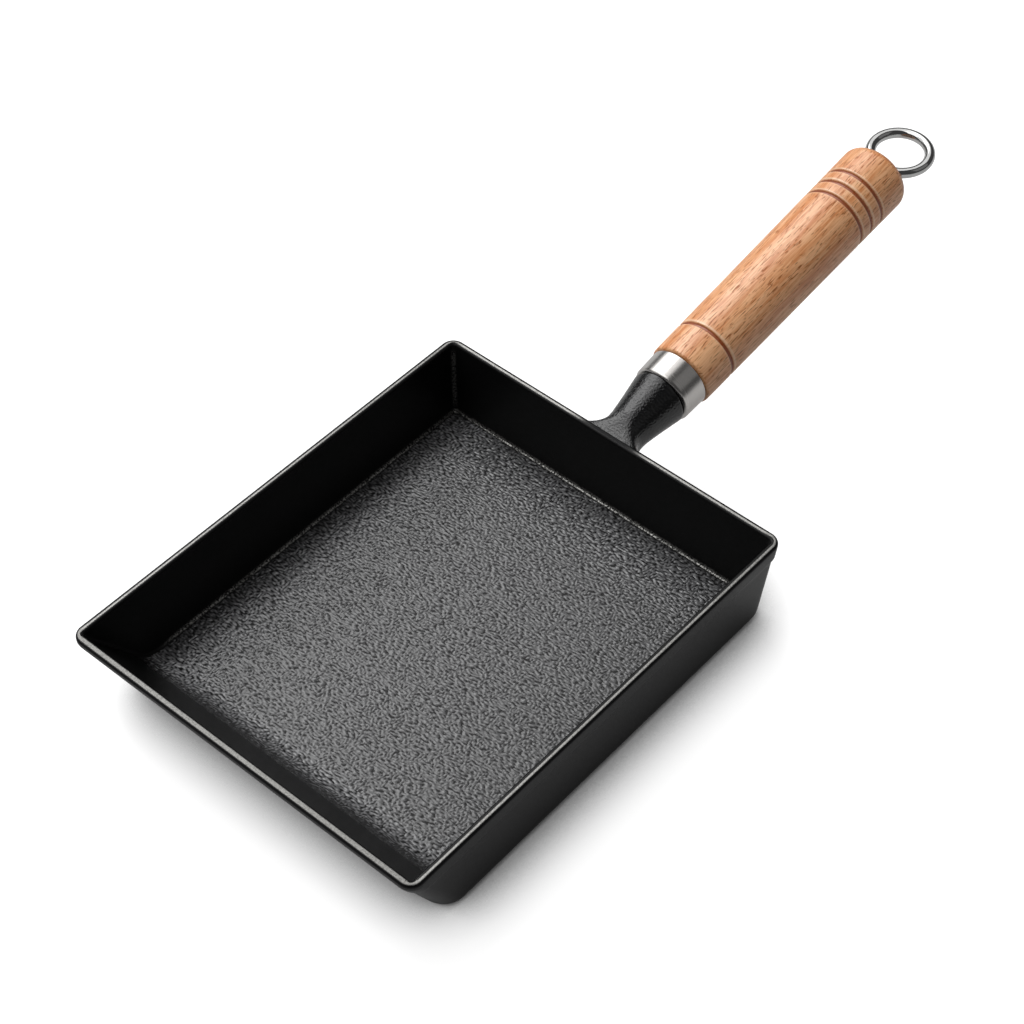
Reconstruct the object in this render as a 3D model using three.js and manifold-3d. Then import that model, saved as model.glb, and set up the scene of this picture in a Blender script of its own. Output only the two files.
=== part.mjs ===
// A rectangular omelette pan: an iron casting with a sloped front wall, and a turned beech
// handle pulled onto the casting's neck by a rod, with a ring to hang it by.
// The base rests on the XY plane, the handle points along +Y and +Z is up.
import * as THREE from 'three';
import { mergeVertices } from 'three/addons/utils/BufferGeometryUtils.js';
import Module from 'manifold-3d';

const wasm = await Module();
wasm.setup();

// Driving dimensions in millimetres, angles in degrees

// Tray of the pan body
const rimWidth = 150;
const rimLength = 187.6;
const panHeight = 37.7;
const wallThickness = 3;
const floorThickness = 4.5;
const sideSlope = 2.5;
const backSlope = 0.8;
const frontSlope = 28;
const frontInnerSlope = 37;
const rimEdgeRadius = 1;
const rimLandHeight = 2.4;
const rimBandHeight = 6;
const rimBandProud = 0.7;
const rimCornerRadius = 5;
const baseCornerRadius = 10;
const baseEdgeRadius = 5;
const floorEdgeRadius = 2.5;
const frontFloorRadius = 6;

// Neck of the pan body, measured along the handle's axis from the back of the rim
const handlePitch = 9.1;
const axisBelowRim = 6.3;
const neckLength = 27.6;
const neckWaistRadius = 8;
const neckEndStep = 0.4;
const neckFilletRadius = 8;
const neckBurial = 1.5;
const neckFlarePower = 1.2;
const neckRootPower = 0.4;
const neckSpigotLength = 4.4;
const rodEngagement = 18;

// Ferrule
const ferruleLength = 10.9;
const ferruleFrontRadius = 11.8;
const ferruleFlare = 0.3;
const ferruleWall = 0.8;
const ferruleLipRadius = 1.5;

// Wooden grip
const gripLength = 122.1;
const gripStep = 0.7;
const gripFlare = 1.2;
const gripFrontRounding = 1.2;
const gripRearRounding = 4.5;
const grooveWidth = 2;
const grooveDepth = 0.9;
const frontGroove = 15.1;
const rearGrooves = [93.8, 99.9, 106.7];
const pocketRadius = 7.4;
const pocketDepth = 9;

// Rod, washer, eye nut and ring
const rodRadius = 3;
const rodChamfer = 0.5;
const washerPlay = 0.6;
const washerThickness = 1.2;
const nutSides = 6;
const nutAcrossFlats = 10;
const nutCap = 1.2;
const eyeSlack = 0.7;
const eyeWall = 1;
const eyeRoot = 0.45;
const eyeThickness = 2.2;
const eyeBeyondGrip = 2.9;
const ringMeanRadius = 11.3;
const ringWireRadius = 2.05;
const ringSag = 5.2;
const ringRestAngle = 60;
const ringPlay = 0.3;

// Clearances between pieces
const seatGap = 0.3;
const rodClearance = 0.6;

// How finely round forms are cut into facets
const cornerSteps = 8;
const edgeSteps = 5;
const neckSteps = 5;
const roundSegments = 40;
const smallSegments = 24;
const weldTolerance = 1e-5;

const radians = THREE.MathUtils.degToRad;
const lerp = THREE.MathUtils.lerp;
const smoothstep = THREE.MathUtils.smoothstep;

// Numbers from 0 to 1 in equal steps
function fractions(steps) {
  return Array.from({ length: steps + 1 }, (_, i) => i / steps);
}

// Angles from 0 to a right angle in equal steps
function quarterTurn(steps) {
  return fractions(steps).map((part) => (Math.PI / 2) * part);
}

// A geometry with shared vertices merged and collapsed triangles left out
function welded(geometry) {
  const bare = new THREE.BufferGeometry();
  bare.setAttribute('position', geometry.getAttribute('position'));
  bare.setIndex(geometry.getIndex());
  const merged = mergeVertices(bare, weldTolerance);
  const old = merged.getIndex().array;
  const kept = [];
  for (let i = 0; i < old.length; i += 3) {
    const [a, b, c] = [old[i], old[i + 1], old[i + 2]];
    if (a !== b && b !== c && c !== a) kept.push(a, b, c);
  }
  merged.setIndex(kept);
  return merged;
}

// A closed geometry as a solid that can be joined and cut
function solidOf(geometry) {
  const merged = welded(geometry);
  return new wasm.Manifold(new wasm.Mesh({
    numProp: 3,
    vertProperties: new Float32Array(merged.getAttribute('position').array),
    triVerts: new Uint32Array(merged.getIndex().array),
  }));
}

// The surface of a joined or cut solid
function geometryOf(solid) {
  const mesh = solid.getMesh();
  const geometry = new THREE.BufferGeometry();
  geometry.setAttribute('position', new THREE.BufferAttribute(new Float32Array(mesh.vertProperties), 3));
  geometry.setIndex(Array.from(mesh.triVerts));
  geometry.computeVertexNormals();
  return geometry;
}

// A closed skin over rings with equally many points, each ring anticlockwise seen from the
// side that the next ring lies on, with a flat cap on the first and the last
function skinOver(rings) {
  const count = rings[0].length;
  const points = rings.flat();
  const middle = (ring) => ring.reduce((sum, p) => sum.add(p), new THREE.Vector3()).divideScalar(count);
  const firstCentre = points.push(middle(rings[0])) - 1;
  const lastCentre = points.push(middle(rings[rings.length - 1])) - 1;
  const faces = [];
  for (let i = 0; i < count; i += 1) {
    const j = (i + 1) % count;
    faces.push(firstCentre, j, i);
    for (let row = 0; row < rings.length - 1; row += 1) {
      const low = row * count;
      const high = low + count;
      faces.push(low + i, low + j, high + j, low + i, high + j, high + i);
    }
    const top = (rings.length - 1) * count;
    faces.push(lastCentre, top + i, top + j);
  }
  const geometry = new THREE.BufferGeometry().setFromPoints(points);
  geometry.setIndex(faces);
  return geometry;
}

// A solid of revolution about Y from [radius, station] pairs, with stations rising up its outside
function revolved(profile, segments) {
  const points = profile.map(([radius, station]) => new THREE.Vector2(radius, station));
  return welded(new THREE.LatheGeometry(points, segments));
}

// Profile points of a rounded edge: an arc about [radius, station] from one angle to another,
// where 0 points outwards and 90 points along +Y
function arc(radius, station, size, from, to, steps) {
  return fractions(steps).map((part) => {
    const angle = radians(lerp(from, to, part));
    return [radius + size * Math.cos(angle), station + size * Math.sin(angle)];
  });
}

// Radii that step up along the handle, from the neck to the grip's rear end
const neckEndRadius = ferruleFrontRadius - neckEndStep;
const neckSpigotRadius = ferruleFrontRadius - ferruleLipRadius - seatGap;
const ferruleRearRadius = ferruleFrontRadius + ferruleFlare;
const gripFrontRadius = ferruleRearRadius + gripStep;
const gripRearRadius = gripFrontRadius + gripFlare;

// Pan body: heights that both faces of the walls share
const landZ = panHeight - rimLandHeight;
const bandZ = panHeight - rimBandHeight;

// How far a leaning wall has come in from the rim at height z
function leanInset(z, slope) {
  return Math.max(0, landZ - z) * Math.tan(slope);
}

// The same, for a wall that rounds into a floor at floorZ
function wallInset(z, slope, floorZ, edgeRadius) {
  if (z >= floorZ + edgeRadius * (1 - Math.sin(slope))) return leanInset(z, slope);
  const rise = floorZ + edgeRadius - z;
  const centre = leanInset(floorZ, slope) + edgeRadius * (1 / Math.cos(slope) - Math.tan(slope));
  return centre - Math.sqrt(edgeRadius ** 2 - rise ** 2);
}

// One level outline of the tray, set in from the rim by the lean of each wall and by setback
function trayRing(z, setback, { floorZ, edgeRadius, frontRadius, frontLean }) {
  const side = rimWidth / 2 - setback - wallInset(z, radians(sideSlope), floorZ, edgeRadius);
  const back = rimLength / 2 - setback - wallInset(z, radians(backSlope), floorZ, edgeRadius);
  const front = rimLength / 2 - setback - wallInset(z, radians(frontLean), floorZ, frontRadius);
  const rounding = wallInset(z, radians(sideSlope), floorZ, edgeRadius) - leanInset(z, radians(sideSlope));
  const corner = lerp(baseCornerRadius, rimCornerRadius, z / panHeight) - setback - rounding;
  const radius = Math.max(rimEdgeRadius, corner);
  const corners = [[side, -front], [side, back], [-side, back], [-side, -front]];
  return corners.flatMap(([x, y], quarter) => quarterTurn(cornerSteps).map((turn) => {
    const angle = turn + (quarter - 1) * (Math.PI / 2);
    const centreX = x - Math.sign(x) * radius;
    const centreY = y - Math.sign(y) * radius;
    return new THREE.Vector3(centreX + radius * Math.cos(angle), centreY + radius * Math.sin(angle), z);
  }));
}

// The tray's two faces: the heights they end at, their roundings and the lean of the front wall
const outside = {
  floorZ: 0,
  edgeRadius: baseEdgeRadius,
  frontRadius: baseEdgeRadius,
  frontLean: frontSlope,
};
const inside = {
  floorZ: floorThickness,
  edgeRadius: floorEdgeRadius,
  frontRadius: frontFloorRadius,
  frontLean: frontInnerSlope,
};

// The tray: up its outside from the base, over the rim and down its inside to the floor
function trayGeometry() {
  const turns = quarterTurn(edgeSteps);
  const backTurns = [...turns].reverse();
  const outer = (z, setback) => trayRing(z, setback, outside);
  const inner = (z, setback) => trayRing(z, setback, inside);
  const lip = (turn) => panHeight - rimEdgeRadius * (1 - Math.sin(turn));
  const rounded = (turn) => rimEdgeRadius * (1 - Math.cos(turn));
  return skinOver([
    ...backTurns.map((turn) => outer(baseEdgeRadius * (1 - Math.sin(turn)), rimBandProud)),
    outer(bandZ - rimBandProud, rimBandProud),
    outer(bandZ, 0),
    outer(landZ, 0),
    ...turns.map((turn) => outer(lip(turn), rounded(turn))),
    ...backTurns.map((turn) => inner(lip(turn), wallThickness - rounded(turn))),
    inner(landZ, wallThickness),
    ...turns.map((turn) => inner(floorThickness + floorEdgeRadius * (1 - Math.sin(turn)), wallThickness)),
  ]);
}

// Handle frame: its Y axis is the handle's axis, with station 0 at the back of the rim
const handle = new THREE.Group();
handle.position.set(0, rimLength / 2, panHeight - axisBelowRim);
handle.rotation.x = radians(handlePitch);
handle.updateMatrix();

// The neck's fillet starts on the back wall below the rim band
const neckRoot = -rimBandProud - leanInset(panHeight - axisBelowRim, radians(backSlope));
const neckWaist = neckRoot + neckFilletRadius;

// One section of the neck: squarish, wide and level with the rim at the wall, round from its waist on
function neckRing(station, flare) {
  const blend = smoothstep(station, neckRoot, neckWaist + neckFilletRadius / 2);
  const along = Math.max(0, (station - neckWaist) / (neckLength - neckWaist));
  const radius = lerp(neckWaistRadius, neckEndRadius, along ** neckFlarePower);
  const above = lerp(axisBelowRim, radius, blend);
  const power = lerp(neckRootPower, 1, blend);
  const tilt = radians(handlePitch) * (1 - blend);
  return Array.from({ length: roundSegments }, (_, i) => {
    const angle = (2 * Math.PI * i) / roundSegments;
    const across = Math.sign(Math.cos(angle)) * Math.abs(Math.cos(angle)) ** power;
    const up = Math.sign(Math.sin(angle)) * Math.abs(Math.sin(angle)) ** power;
    const height = up > 0 ? above * up : (radius + flare) * up;
    return new THREE.Vector3(
      -(radius + flare) * across,
      station + height * Math.sin(tilt),
      height * Math.cos(tilt),
    );
  });
}

// The neck from inside the back wall to the spigot that the ferrule sits on
function neckGeometry() {
  const buried = neckRing(neckRoot, neckFilletRadius);
  buried.forEach((point) => point.setY(point.y - neckBurial));
  const fillet = quarterTurn(edgeSteps + 2).map((turn) => neckRing(
    neckRoot + neckFilletRadius * (1 - Math.cos(turn)),
    neckFilletRadius * (1 - Math.sin(turn)),
  ));
  const cone = fractions(neckSteps).map((part) => neckRing(lerp(neckWaist, neckLength, part), 0));
  return skinOver([buried, ...fillet, ...cone.slice(1)]);
}

// A plain round bar about the handle's axis
function bar(radius, from, to, segments) {
  return revolved([[0, from], [radius, from], [radius, to], [0, to]], segments);
}

// The neck ends in a spigot, with a blind hole that the rod screws into
const neckEnd = neckLength + neckSpigotLength;
const rodStart = neckEnd - rodEngagement;

function panBodyGeometry() {
  const inHandle = (geometry) => solidOf(geometry.applyMatrix4(handle.matrix));
  const spigot = bar(neckSpigotRadius, neckLength - neckSpigotLength, neckEnd, roundSegments);
  const hole = bar(rodRadius + seatGap, rodStart - seatGap, neckEnd + seatGap, smallSegments);
  const body = solidOf(trayGeometry())
    .add(inHandle(neckGeometry()))
    .add(inHandle(spigot))
    .subtract(inHandle(hole));
  return geometryOf(body);
}

// Ferrule: a slightly flared collar with its front edge turned in over the neck's spigot
const ferruleFront = neckLength + seatGap;
const ferruleRear = ferruleFront + ferruleLength;

function ferruleRadius(station) {
  return lerp(ferruleFrontRadius, ferruleRearRadius, (station - ferruleFront) / ferruleLength);
}

function ferruleGeometry() {
  const lipInner = neckSpigotRadius + seatGap;
  const bend = ferruleFront + ferruleLipRadius;
  const bendRadius = ferruleRadius(bend);
  const bendCentre = bendRadius - ferruleLipRadius;
  const outerBend = arc(bendCentre, bend, ferruleLipRadius, -90, 0, edgeSteps);
  const innerBend = arc(bendCentre, bend, ferruleLipRadius - ferruleWall, 0, -90, edgeSteps);
  return revolved([
    [lipInner, ferruleFront],
    ...outerBend,
    [ferruleRearRadius, ferruleRear],
    [ferruleRearRadius - ferruleWall, ferruleRear],
    ...innerBend,
    [lipInner, ferruleFront + ferruleWall],
    [lipInner, ferruleFront],
  ], roundSegments);
}

// Wooden grip
const gripFront = ferruleRear + seatGap;
const gripRear = gripFront + gripLength;
const pocketFloor = gripRear - pocketDepth;

function gripRadius(station) {
  return lerp(gripFrontRadius, gripRearRadius, (station - gripFront) / gripLength);
}

// A turned groove: a rounded hollow in the grip's outside
function groove(offset) {
  const middle = gripFront + offset;
  return fractions(edgeSteps + 1).map((part) => {
    const station = middle + grooveWidth * (part - 1 / 2);
    return [gripRadius(station) - grooveDepth * Math.sin(Math.PI * part), station];
  });
}

function gripGeometry() {
  const spigotFront = neckEnd + seatGap;
  const boreRadius = rodRadius + rodClearance;
  const spigotRadius = (station) => ferruleRadius(station) - ferruleWall - seatGap;
  const frontEdge = gripFront + gripFrontRounding;
  const rearEdge = gripRear - gripRearRounding;
  return revolved([
    [boreRadius, spigotFront],
    [spigotRadius(spigotFront), spigotFront],
    [spigotRadius(gripFront), gripFront],
    ...arc(gripRadius(frontEdge) - gripFrontRounding, frontEdge, gripFrontRounding, -90, 0, edgeSteps - 1),
    ...[frontGroove, ...rearGrooves].flatMap(groove),
    ...arc(gripRadius(rearEdge) - gripRearRounding, rearEdge, gripRearRounding, 0, 90, edgeSteps + 1),
    [pocketRadius, gripRear],
    [pocketRadius, pocketFloor],
    [boreRadius, pocketFloor],
    [boreRadius, spigotFront],
  ], roundSegments);
}

// Washer, eye nut and rod at the grip's rear end
const washerFront = pocketFloor + seatGap;
const washerRadius = pocketRadius - washerPlay;
const nutFront = washerFront + washerThickness + seatGap;
const eyeHoleRadius = ringWireRadius + eyeSlack;
const eyeStation = gripRear + eyeBeyondGrip;
const nutRear = eyeStation - eyeHoleRadius - eyeRoot;
const threadEnd = nutRear - nutCap;
const rodEnd = threadEnd - seatGap;

function washerGeometry() {
  const hole = rodRadius + rodClearance;
  const rear = washerFront + washerThickness;
  return revolved([
    [hole, washerFront],
    [washerRadius, washerFront],
    [washerRadius, rear],
    [hole, rear],
    [hole, washerFront],
  ], smallSegments);
}

// The eye stands upright in the handle's middle plane, so that its hole runs along X
function eyeGeometry() {
  const outline = new THREE.Shape().absarc(0, 0, eyeHoleRadius + eyeWall, 0, 2 * Math.PI);
  outline.holes.push(new THREE.Path().absarc(0, 0, eyeHoleRadius, 0, 2 * Math.PI, true));
  const options = { depth: eyeThickness, bevelEnabled: false, curveSegments: smallSegments };
  const eye = new THREE.ExtrudeGeometry(outline, options);
  return eye.translate(0, 0, -eyeThickness / 2).rotateY(Math.PI / 2).translate(0, eyeStation, 0);
}

function eyeNutGeometry() {
  const cornerRadius = nutAcrossFlats / 2 / Math.cos(Math.PI / nutSides);
  const hexagon = new THREE.CylinderGeometry(cornerRadius, cornerRadius, nutRear - nutFront, nutSides);
  hexagon.translate(0, (nutFront + nutRear) / 2, 0);
  const thread = bar(rodRadius + seatGap, nutFront - seatGap, threadEnd, smallSegments);
  return geometryOf(solidOf(hexagon).add(solidOf(eyeGeometry())).subtract(solidOf(thread)));
}

function rodGeometry() {
  return revolved([
    [0, rodStart],
    [rodRadius - rodChamfer, rodStart],
    [rodRadius, rodStart + rodChamfer],
    [rodRadius, rodEnd - rodChamfer],
    [rodRadius - rodChamfer, rodEnd],
    [0, rodEnd],
  ], smallSegments);
}

// The ring's wire hangs low in the eye and turns about the middle of its own section there
const ringDrop = eyeSlack - ringPlay;
const hingeStation = eyeStation + ringDrop * Math.cos(radians(ringRestAngle));
const hingeOffset = -ringDrop * Math.sin(radians(ringRestAngle));

function ringGeometry() {
  const ring = new THREE.TorusGeometry(ringMeanRadius, ringWireRadius, smallSegments / 2, roundSegments);
  return ring.translate(0, ringMeanRadius, 0);
}

// Finishes
const castIron = { color: 0x232323, roughness: 0.55, metalness: 0.4 };
const beech = { color: 0xd09a68, roughness: 0.5, metalness: 0 };
const satinSteel = { color: 0xc9c7c4, roughness: 0.28, metalness: 1 };
const plainSteel = { color: 0xa8a8a6, roughness: 0.4, metalness: 1 };
const polishedSteel = { color: 0xd6d6d6, roughness: 0.12, metalness: 1 };

function piece(name, geometry, finish) {
  const mesh = new THREE.Mesh(geometry, new THREE.MeshStandardMaterial(finish));
  mesh.name = name;
  return mesh;
}

const ringHinge = new THREE.Group();
ringHinge.position.set(0, hingeStation, hingeOffset);
ringHinge.rotation.x = -radians(ringSag);
ringHinge.add(piece('hanging_ring', ringGeometry(), polishedSteel));

handle.add(
  piece('ferrule', ferruleGeometry(), satinSteel),
  piece('handle_grip', gripGeometry(), beech),
  piece('tie_rod', rodGeometry(), plainSteel),
  piece('rod_washer', washerGeometry(), plainSteel),
  piece('eye_nut', eyeNutGeometry(), plainSteel),
  ringHinge,
);

const group = new THREE.Group();
group.add(piece('pan_body', panBodyGeometry(), castIron), handle);

export default group;
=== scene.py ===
"""A rectangular cast-iron omelette pan with a turned beech handle and a hanging ring.

Every length is in millimetres in the frame of the part: the base rests on the XY plane, the
handle points along +Y and +Z is up. Meshes are handed over in metres.
"""

import logging
import math
from dataclasses import dataclass, field
from enum import Enum
from typing import Any

import bpy
import numpy as np
from bpy.types import Material, Node, NodeSocket, NodeTree, Object
from mathutils import Matrix


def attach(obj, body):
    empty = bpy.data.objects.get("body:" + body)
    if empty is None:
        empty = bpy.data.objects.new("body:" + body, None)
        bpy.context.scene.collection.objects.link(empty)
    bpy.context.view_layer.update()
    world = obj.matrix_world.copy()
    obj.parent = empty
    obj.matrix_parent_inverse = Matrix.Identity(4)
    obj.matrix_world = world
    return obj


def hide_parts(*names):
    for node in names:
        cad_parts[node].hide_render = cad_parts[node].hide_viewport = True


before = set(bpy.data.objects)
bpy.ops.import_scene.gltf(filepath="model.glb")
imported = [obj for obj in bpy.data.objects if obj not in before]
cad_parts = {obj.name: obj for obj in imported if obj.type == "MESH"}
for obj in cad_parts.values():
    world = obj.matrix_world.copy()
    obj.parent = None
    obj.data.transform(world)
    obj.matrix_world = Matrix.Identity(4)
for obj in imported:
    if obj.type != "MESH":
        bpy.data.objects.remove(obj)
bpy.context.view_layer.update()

MM = 0.001
PHOTO_SIDE = 1024
SENSOR_WIDTH = 36.0
SHARP_ANGLE = 50.0
HANDLE_PITCH = 9.1

Pair = tuple[float, float]

log = logging.getLogger("omelette_pan")


class Body(Enum):
    """The bodies of the part that pieces ride on."""

    PAN = "pan"
    RING = "ring"


class Slot(Enum):
    """The material slots, from the part's record, of the pieces made here."""

    CAST_IRON = "cast_iron"
    SATIN_STEEL = "satin_steel"
    BEECH = "beech"
    POLISHED_STEEL = "polished_steel"


def linear(hex_colour: str) -> tuple[float, float, float, float]:
    """Turns an sRGB hex colour into linear light.

    Args:
        hex_colour: six hex digits, with or without a leading #.

    Returns:
        Red, green, blue and an alpha of 1, for a node's colour socket.
    """
    digits = hex_colour.lstrip("#")
    srgb = np.array([int(digits[i:i + 2], 16) for i in (0, 2, 4)]) / 255.0
    light = np.where(srgb <= 0.04045, srgb / 12.92, ((srgb + 0.055) / 1.055) ** 2.4)
    return (*light.tolist(), 1.0)


def per_size(size: float) -> float:
    """The scale of a pattern on Object coordinates whose features are size millimetres wide."""
    return 1.0 / (size * MM)


def set_inputs(tree: NodeTree, node: Node, inputs: dict[str, Any]) -> None:
    """Sets and links sockets of a node.

    Args:
        tree: the node tree of a material or world.
        node: the node.
        inputs: socket names or identifiers, each with a value, a socket or a node, which
            stands for its first output in use.
    """
    for name, value in inputs.items():
        socket = next(s for s in node.inputs if s.enabled and name in (s.name, s.identifier))
        if isinstance(value, Node):
            value = next(output for output in value.outputs if output.enabled)
        if isinstance(value, NodeSocket):
            tree.links.new(value, socket)
        else:
            socket.default_value = value


def add_node(
    tree: NodeTree, kind: str, inputs: dict[str, Any] | None = None, **settings: Any
) -> Node:
    """Adds one node with its settings, values and links.

    Args:
        tree: the node tree of a material or world.
        kind: the node's type name, without the ShaderNode that each of them starts with.
        inputs: its sockets, as set_inputs takes them.
        settings: the node's own properties.

    Returns:
        The new node.
    """
    node = tree.nodes.new("ShaderNode" + kind)
    for name, value in settings.items():
        setattr(node, name, value)
    set_inputs(tree, node, inputs or {})
    return node


def placed(axes: list[np.ndarray], spot: np.ndarray) -> Matrix:
    """The world matrix of an object with these three axes, at a place in metres."""
    return Matrix([(*row, at) for row, at in zip(np.stack(axes).T, spot)] + [(0.0, 0.0, 0.0, 1.0)])


def smooth(low: float, high: float, value: np.ndarray) -> np.ndarray:
    """A smooth step from 0 at low to 1 at high, with level ends: 3t² - 2t³."""
    t = np.clip((value - low) / (high - low), 0.0, 1.0)
    return t * t * (3.0 - 2.0 * t)


def quarter(steps: int) -> np.ndarray:
    """Angles from 0 to a right angle in equal steps."""
    return np.linspace(0.0, np.pi / 2.0, steps + 1)


def circle(steps: int) -> np.ndarray:
    """Angles once round in equal steps, the first not repeated."""
    return np.linspace(0.0, 2 * np.pi, steps, endpoint=False)


def grid_quads(rows: int, columns: int, wrap_rows: bool = False, wrap_columns: bool = True) -> np.ndarray:
    """The faces of a grid of points, numbered row by row.

    A face joins two neighbours in one row with the same two in the next row. Rows that run
    anticlockwise, seen from the side of the next row, give faces that point outwards.

    Args:
        rows: the number of rows.
        columns: the number of points in a row.
        wrap_rows: whether the last row joins the first.
        wrap_columns: whether each row is a closed loop.

    Returns:
        Quads as an array of point numbers, four to a face.
    """
    low = np.arange(rows if wrap_rows else rows - 1)[:, None] * columns
    high = (low + columns) % (rows * columns)
    here = np.arange(columns if wrap_columns else columns - 1)[None, :]
    there = (here + 1) % columns
    return np.stack([low + here, low + there, high + there, high + here], axis=-1).reshape(-1, 4)


def fan(loop: np.ndarray, centre: int) -> np.ndarray:
    """Triangles from a closed loop of point numbers to one centre point."""
    return np.stack([loop, np.roll(loop, -1), np.full_like(loop, centre)], axis=-1)


def band_noise(
    shape: tuple[int, int], steps: Pair, period: float, spread: float, seed: int
) -> np.ndarray:
    """A random field of about one wavelength: noise kept only in a ring of its spectrum.

    Args:
        shape: rows and columns of the grid.
        steps: the distance between rows and between columns.
        period: the wavelength that is kept.
        spread: how far from it a wave may be, as a share.
        seed: the seed of the noise.

    Returns:
        The field, with a mean of 0 and a deviation of 1. It repeats at its borders.
    """
    noise = np.random.default_rng(seed).standard_normal(shape)
    rows, columns = (np.fft.fftfreq(count, step) for count, step in zip(shape, steps))
    waves = np.hypot(rows[:, None], columns[None, :]) * period
    kept = np.exp(-0.5 * ((waves - 1.0) / spread) ** 2)
    kept[0, 0] = 0.0
    field_values = np.fft.ifft2(np.fft.fft2(noise) * kept).real
    return field_values / field_values.std()


def ring_normals(rings: np.ndarray) -> np.ndarray:
    """Outward directions on skinned rings: along a ring crossed with the way to the next ring.

    Args:
        rings: points as rows by columns by three.

    Returns:
        Directions of length 1, one at each point.
    """
    along = np.roll(rings, -1, axis=1) - np.roll(rings, 1, axis=1)
    outward = np.cross(along, np.gradient(rings, axis=0))
    return outward / np.maximum(np.linalg.norm(outward, axis=-1, keepdims=True), 1e-9)


@dataclass
class Shell:
    """One surface: its points, its faces and values at each point for the finishes."""

    points: np.ndarray
    faces: list[np.ndarray]
    marks: dict[str, np.ndarray] = field(default_factory=dict)

    @classmethod
    def of_rings(
        cls, rings: np.ndarray, marks: dict[str, np.ndarray] | None = None, loop: bool = False
    ) -> "Shell":
        """Skins rings of points, and closes open ends with a fan to the end ring's middle.

        Args:
            rings: points as rows by columns by three.
            marks: values as rows by columns, or one for each row.
            loop: whether the last ring joins the first, as on a tube bent round.

        Returns:
            The closed shell.
        """
        rows, columns, _ = rings.shape
        points, faces = rings.reshape(-1, 3), [grid_quads(rows, columns, wrap_rows=loop)]
        values = {
            name: np.broadcast_to(np.reshape(mark, (rows, -1)), (rows, columns)).ravel()
            for name, mark in (marks or {}).items()
        }
        if not loop:
            first, count = np.arange(columns), rows * columns
            points = np.concatenate([points, rings[[0, -1]].mean(axis=1)])
            faces += [fan(first[::-1], count), fan(first + count - columns, count + 1)]
            for name, mark in values.items():
                values[name] = np.append(mark, [mark[:columns].mean(), mark[-columns:].mean()])
        return cls(points, faces, values)

    def piece(self, name: str, crease: float | None = None) -> Object:
        """Makes the mesh object, in metres, smooth shaded and with its marks as attributes.

        Args:
            name: the piece's name.
            crease: the angle in degrees past which an edge stays sharp, if any does.

        Returns:
            The new object, at the origin.
        """
        mesh = bpy.data.meshes.new(name)
        faces = [face for block in self.faces for face in block.tolist()]
        mesh.from_pydata((self.points * MM).tolist(), [], faces)
        for mark, values in self.marks.items():
            attribute = mesh.attributes.new(mark, "FLOAT", "POINT")
            attribute.data.foreach_set("value", np.ascontiguousarray(values, dtype=np.float32))
        mesh.shade_smooth()
        if crease is not None:
            mesh.set_sharp_from_angle(angle=math.radians(crease))
        mesh.update()
        piece = bpy.data.objects.new(name, mesh)
        bpy.context.scene.collection.objects.link(piece)
        return piece


@dataclass(frozen=True)
class Finish:
    """A material: its name, and the nodes that a kind of finish adds to a plain shader."""

    name: str

    def material(self) -> Material:
        """Makes the material and lets the finish add its nodes.

        Returns:
            The new material.
        """
        material = bpy.data.materials.new(self.name)
        material.use_nodes = True
        tree = material.node_tree
        self.shade(tree, tree.nodes["Principled BSDF"])
        return material

    def shade(self, tree: NodeTree, shader: Node) -> None:
        """Adds the finish's nodes.

        Args:
            tree: the material's node tree.
            shader: its surface shader.
        """
        raise NotImplementedError


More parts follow.
